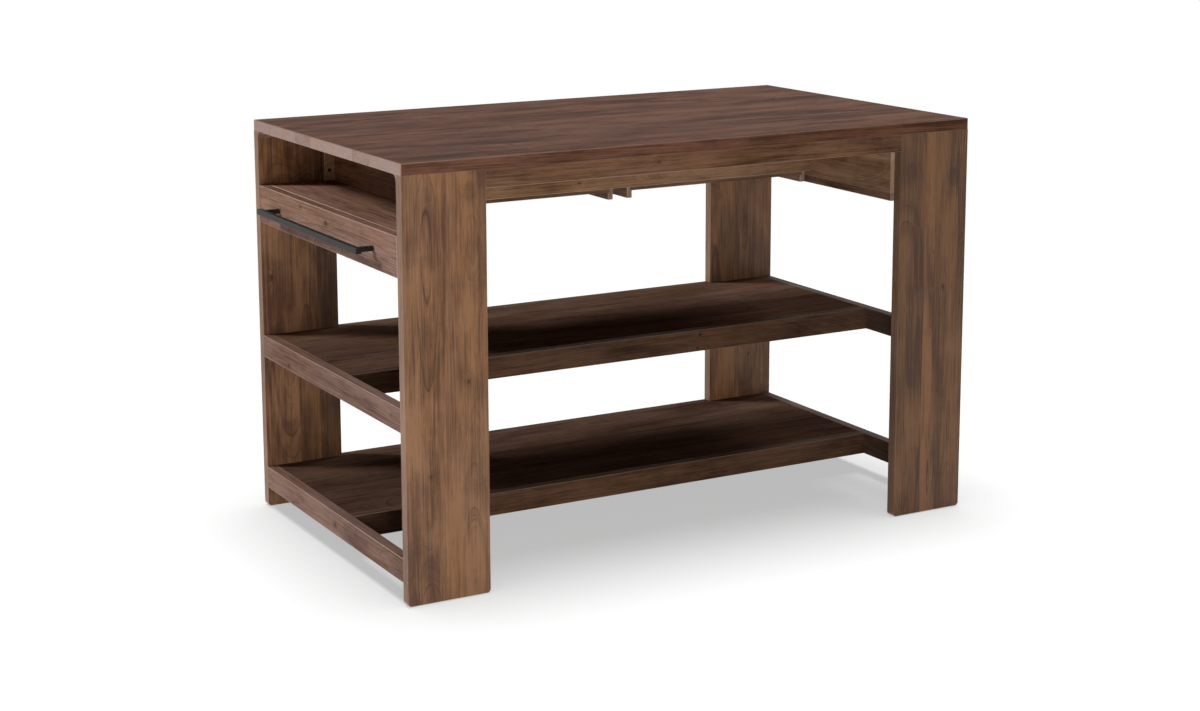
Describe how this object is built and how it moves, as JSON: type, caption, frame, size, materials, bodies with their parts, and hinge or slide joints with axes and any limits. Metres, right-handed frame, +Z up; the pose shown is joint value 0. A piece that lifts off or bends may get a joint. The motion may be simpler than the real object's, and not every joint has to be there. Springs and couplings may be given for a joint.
{
  "type": "kitchen island unit",
  "caption": "Solid wood kitchen island with open shelves, knee room on the seating side, open end niches, wide drawers on the working side and a shallow end drawer with a dark bar pull.",
  "frame": {"origin": "middle of the overall footprint, pulls included, on the floor", "axes": "+X along the length to the end without a drawer, +Y to the working side with the wide drawers, +Z up"},
  "size_m": [1.455, 0.86, 0.914],
  "materials": {
    "top_wood": "oiled walnut",
    "leg_wood": "oiled walnut",
    "rail_wood": "oiled walnut",
    "end_wood": "oiled walnut",
    "shelf_wood": "oiled walnut, dark",
    "inner_wood": "oiled",
    "box_wood": "clear lacquered",
    "pull_metal": "black powder coat",
    "screw_steel": "zinc plated",
    "felt": "felt"
  },
  "bodies": {
    "carcass": {"worktop": "top_wood", "leg_seat_left": "leg_wood", "leg_seat_right": "leg_wood", "leg_work_left": "leg_wood", "leg_work_right": "leg_wood", "seat_rail": "rail_wood", "work_rail": "rail_wood", "bay_back_board": "inner_wood", "wall_left": "inner_wood", "wall_right": "inner_wood", "wall_cleats": "rail_wood", "niche_floor_left": "shelf_wood", "niche_floor_right": "shelf_wood", "niche_rail_right": "end_wood", "niche_battens": "inner_wood", "batten_screws": "screw_steel", "corner_coves": "end_wood", "guide_outer_left": "inner_wood", "guide_inner_left": "inner_wood", "guide_inner_right": "inner_wood", "guide_outer_right": "inner_wood", "bay_stile": "inner_wood", "bay_floor_left": "shelf_wood", "bay_floor_right": "shelf_wood", "mid_shelf_panel": "shelf_wood", "mid_seat_rail": "rail_wood", "mid_work_rail": "rail_wood", "mid_end_rail_left": "end_wood", "mid_end_rail_right": "end_wood", "mid_shelf_battens": "inner_wood", "low_shelf_panel": "shelf_wood", "low_seat_rail": "rail_wood", "low_work_rail": "rail_wood", "low_end_rail_left": "end_wood", "low_end_rail_right": "end_wood", "low_shelf_battens": "inner_wood", "end_drawer_runners": "inner_wood", "felt_pads": "felt"},
    "end_drawer": {"end_drawer_front": "end_wood", "end_drawer_side_seat": "box_wood", "end_drawer_side_work": "box_wood", "end_drawer_back": "box_wood", "end_drawer_bottom": "box_wood", "end_drawer_pull": "pull_metal", "end_drawer_screws": "screw_steel"},
    "left_drawer": {"left_drawer_front": "leg_wood", "left_drawer_side_left": "box_wood", "left_drawer_side_right": "box_wood", "left_drawer_back": "box_wood", "left_drawer_bottom": "box_wood", "left_drawer_pull": "pull_metal", "left_drawer_screws": "screw_steel"},
    "right_drawer": {"right_drawer_front": "leg_wood", "right_drawer_side_left": "box_wood", "right_drawer_side_right": "box_wood", "right_drawer_back": "box_wood", "right_drawer_bottom": "box_wood", "right_drawer_pull": "pull_metal", "right_drawer_screws": "screw_steel"}
  },
  "joints": [
    {"name": "end_drawer_slide", "type": "slide", "parent": "carcass", "child": "end_drawer", "axis": [-1, 0, 0], "range_m": [0, 0.1]},
    {"name": "left_drawer_slide", "type": "slide", "parent": "carcass", "child": "left_drawer", "axis": [0, 1, 0], "range_m": [0, 0.32]},
    {"name": "right_drawer_slide", "type": "slide", "parent": "carcass", "child": "right_drawer", "axis": [0, 1, 0], "range_m": [0, 0.32]}
  ]
}
